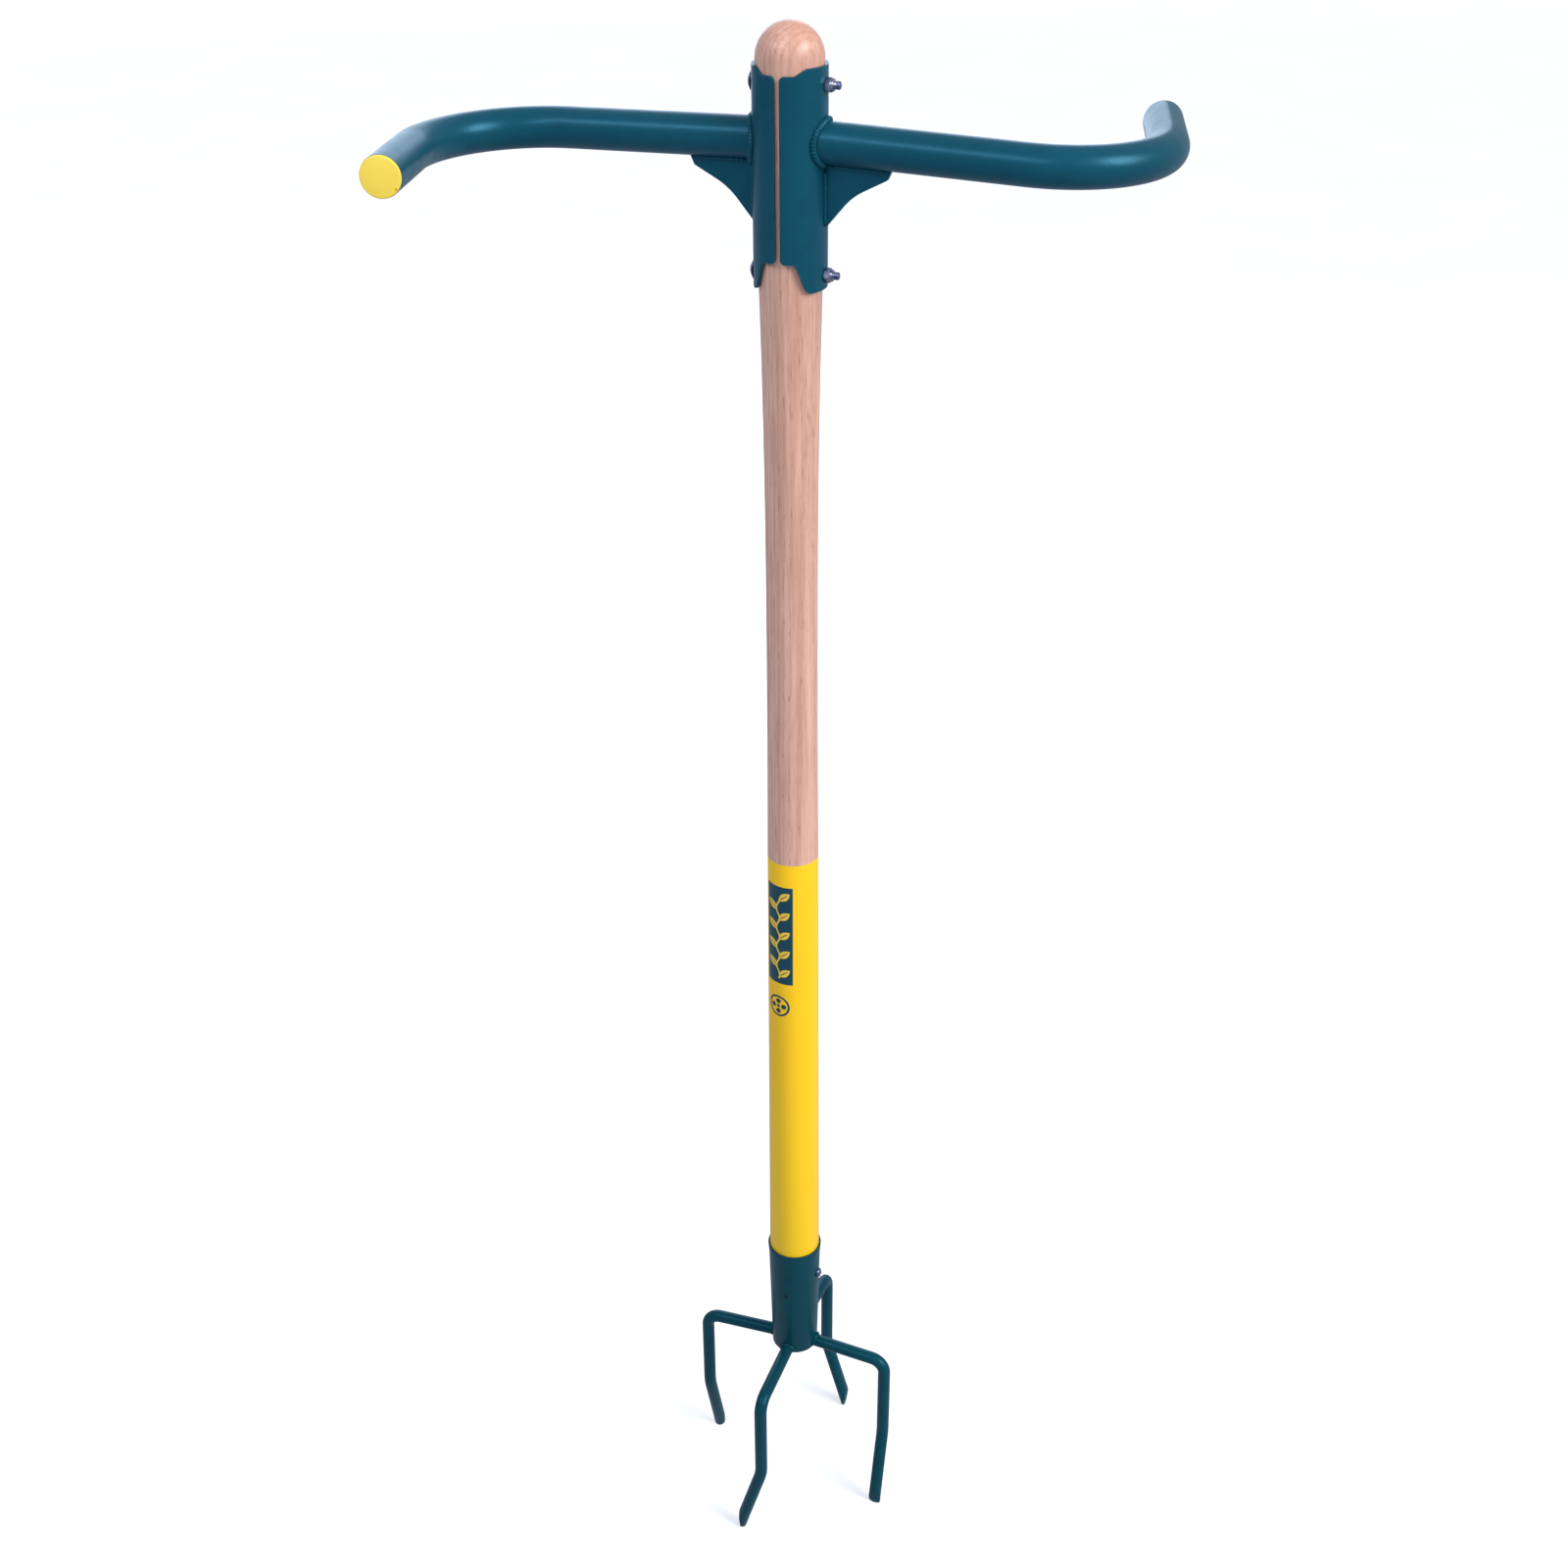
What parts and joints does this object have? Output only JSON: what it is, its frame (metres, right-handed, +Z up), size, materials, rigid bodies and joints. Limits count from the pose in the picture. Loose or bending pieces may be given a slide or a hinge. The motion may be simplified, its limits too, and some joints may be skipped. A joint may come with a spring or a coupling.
{
  "type": "lawn aerator fork",
  "caption": "Tall hand lawn aerator: wooden handle with domed top, bent tube handlebar clamped by a two-part collar, and a steel socket with four twisted tines.",
  "frame": {"origin": "on the handle's centre line, at the height of the tine points", "axes": "+Z up the handle, +X along the right handlebar arm, -Y towards the front tine and the left grip end"},
  "size_m": [0.4496, 0.3018, 1.186],
  "materials": {
    "ash_wood": "clear varnish, fine straight grain",
    "yellow_film": "smooth semi-gloss",
    "teal_paint": "semi-gloss powder coat",
    "zinc_steel": "bright zinc plate",
    "yellow_plastic": "moulded, satin",
    "white_nylon": "natural nylon",
    "label_ink": "printed panel"
  },
  "bodies": {
    "root": {"wooden_handle": "ash_wood", "handle_sleeve": "yellow_film", "right_collar_half": "teal_paint", "right_handlebar_tube": "teal_paint", "right_tube_weld": "teal_paint", "right_gusset": "teal_paint", "right_gusset_weld": "teal_paint", "right_end_cap": "yellow_plastic", "left_collar_half": "teal_paint", "left_handlebar_tube": "teal_paint", "left_tube_weld": "teal_paint", "left_gusset": "teal_paint", "left_gusset_weld": "teal_paint", "left_end_cap": "yellow_plastic", "upper_clamp_bolt": "zinc_steel", "upper_clamp_nut": "zinc_steel", "upper_nut_insert": "white_nylon", "lower_clamp_bolt": "zinc_steel", "lower_clamp_nut": "zinc_steel", "lower_nut_insert": "white_nylon", "tine_socket": "teal_paint", "socket_screw": "zinc_steel", "right_tine": "teal_paint", "right_tine_weld": "teal_paint", "rear_tine": "teal_paint", "rear_tine_weld": "teal_paint", "left_tine": "teal_paint", "left_tine_weld": "teal_paint", "front_tine": "teal_paint", "front_tine_weld": "teal_paint"}
  },
  "joints": []
}
